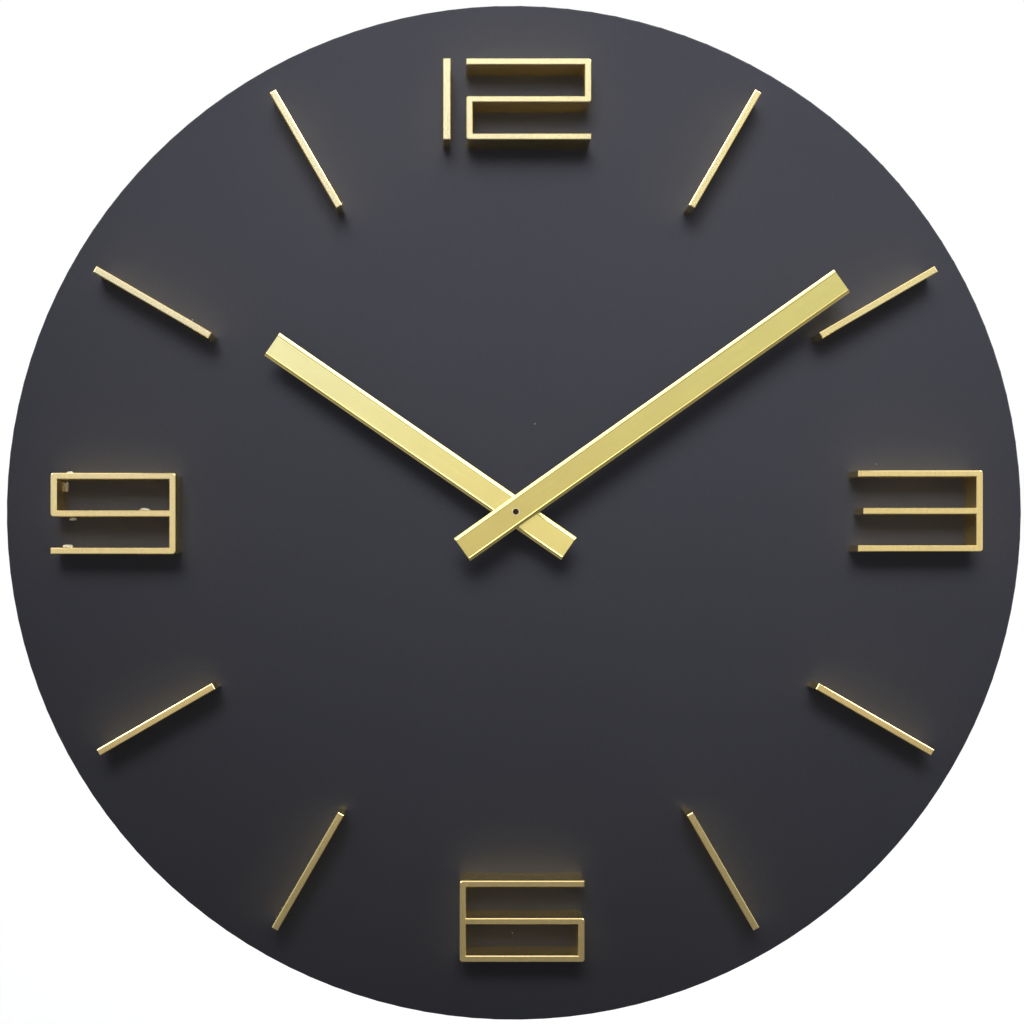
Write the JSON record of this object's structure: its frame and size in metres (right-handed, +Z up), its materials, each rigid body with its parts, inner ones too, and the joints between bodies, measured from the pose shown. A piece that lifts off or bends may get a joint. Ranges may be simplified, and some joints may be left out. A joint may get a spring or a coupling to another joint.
{
  "type": "wall clock",
  "caption": "Round wall clock with raised bar numerals, two broad hands and a battery quartz movement with a working wheel train, hung from a bent steel hanger.",
  "frame": {"origin": "on the hands' axis, in the wall plane that the movement's flat back rests on", "axes": "+Y into the wall, so the dial faces -Y; +X to the right as the clock is read; +Z up towards 12"},
  "size_m": [0.4999, 0.0421, 0.5],
  "materials": {
    "dial_charcoal": "medium density fibreboard with a matt charcoal finish",
    "gold_strip": "gold anodised flat bar, lightly brushed",
    "gold_hand": "gold, satin brushed",
    "clear_glue": "dried clear glue",
    "brass_turned": "turned brass",
    "spring_steel": "nickel plated spring sheet",
    "white_acetal": "natural moulded acetal",
    "knob_plastic": "black moulded plastic",
    "arbor_steel": "polished steel wire",
    "magnet_dark": "sintered magnet",
    "stator_steel": "soft magnetic sheet",
    "bobbin_plastic": "moulded plastic",
    "copper_wire": "enamelled copper wire",
    "board_green": "circuit board laminate",
    "chip_epoxy": "black epoxy",
    "crystal_can": "metal can",
    "case_plastic": "black moulded plastic, fine spark texture",
    "inner_plastic": "dark moulded plastic",
    "hanger_steel": "zinc plated sheet steel",
    "washer_rubber": "black rubber",
    "battery_sleeve": "printed sleeve, plain",
    "battery_steel": "nickel plated"
  },
  "bodies": {
    "clock_body": {"dial_board": "dial_charcoal", "numeral_12_one": "gold_strip", "numeral_12_two": "gold_strip", "numeral_3": "gold_strip", "numeral_6": "gold_strip", "numeral_9": "gold_strip", "hour_bar_1": "gold_strip", "hour_bar_2": "gold_strip", "hour_bar_4": "gold_strip", "hour_bar_5": "gold_strip", "hour_bar_7": "gold_strip", "hour_bar_8": "gold_strip", "hour_bar_10": "gold_strip", "hour_bar_11": "gold_strip", "glue_beads": "clear_glue", "front_case": "case_plastic", "rear_cover": "case_plastic", "middle_plate": "inner_plastic", "hanger": "hanger_steel", "threaded_bush": "brass_turned", "rubber_washer": "washer_rubber", "brass_washer": "brass_turned", "hex_nut": "brass_turned", "circuit_board": "board_green", "chip_blob": "chip_epoxy", "quartz_crystal": "crystal_can", "coil_bobbin": "bobbin_plastic", "coil_winding": "copper_wire", "stator_plate": "stator_steel", "battery_contact_positive": "spring_steel", "battery_contact_negative": "spring_steel"},
    "minute_set": {"minute_hand": "gold_hand", "minute_collet": "brass_turned", "minute_arbor": "brass_turned", "clutch_spring": "spring_steel"},
    "hour_set": {"hour_hand": "gold_hand", "hour_collet": "brass_turned", "hour_wheel": "white_acetal"},
    "motion_set": {"motion_wheel": "white_acetal"},
    "setting_set": {"setting_shaft": "white_acetal", "setting_knob": "knob_plastic"},
    "centre_set": {"centre_wheel": "white_acetal"},
    "third_set": {"third_wheel": "white_acetal"},
    "seconds_set": {"seconds_wheel": "white_acetal", "seconds_arbor": "arbor_steel"},
    "intermediate_set": {"intermediate_wheel": "white_acetal"},
    "rotor_set": {"rotor_pinion": "white_acetal", "rotor_magnet": "magnet_dark"},
    "battery": {"battery_cell": "battery_sleeve", "battery_cap": "battery_steel"}
  },
  "joints": [
    {"name": "minute_spin", "type": "hinge", "parent": "clock_body", "child": "minute_set", "pos_m": [0, 0, 0], "axis": [0, 1, 0], "continuous": true},
    {"name": "hour_spin", "type": "hinge", "parent": "clock_body", "child": "hour_set", "pos_m": [0, 0, 0], "axis": [0, 1, 0], "continuous": true},
    {"name": "motion_spin", "type": "hinge", "parent": "clock_body", "child": "motion_set", "pos_m": [0.0068, 0, -0.00317], "axis": [0, 1, 0], "continuous": true},
    {"name": "setting_spin", "type": "hinge", "parent": "clock_body", "child": "setting_set", "pos_m": [0.01427, 0, -0.00382], "axis": [0, 1, 0], "continuous": true},
    {"name": "seconds_spin", "type": "hinge", "parent": "clock_body", "child": "seconds_set", "pos_m": [0, 0, 0], "axis": [0, 1, 0], "continuous": true},
    {"name": "third_spin", "type": "hinge", "parent": "clock_body", "child": "third_set", "pos_m": [-0.009, 0, 0], "axis": [0, 1, 0], "continuous": true},
    {"name": "centre_spin", "type": "hinge", "parent": "clock_body", "child": "centre_set", "pos_m": [0, 0, 0], "axis": [0, 1, 0], "continuous": true},
    {"name": "intermediate_spin", "type": "hinge", "parent": "clock_body", "child": "intermediate_set", "pos_m": [0.00573, 0, 0.00402], "axis": [0, 1, 0], "continuous": true},
    {"name": "rotor_spin", "type": "hinge", "parent": "clock_body", "child": "rotor_set", "pos_m": [0.01011, 0, 0.00922], "axis": [0, 1, 0], "continuous": true},
    {"name": "battery_slide", "type": "slide", "parent": "clock_body", "child": "battery", "axis": [0, 1, 0], "range_m": [0, 0.03]}
  ],
  "couplings": [
    {"joint": "hour_spin", "follows": "minute_spin", "ratio": 0.083333},
    {"joint": "motion_spin", "follows": "minute_spin", "ratio": -0.33333},
    {"joint": "setting_spin", "follows": "minute_spin", "ratio": 1},
    {"joint": "third_spin", "follows": "seconds_spin", "ratio": -0.13333},
    {"joint": "centre_spin", "follows": "seconds_spin", "ratio": 0.016667},
    {"joint": "intermediate_spin", "follows": "seconds_spin", "ratio": -4},
    {"joint": "rotor_spin", "follows": "seconds_spin", "ratio": 30}
  ]
}
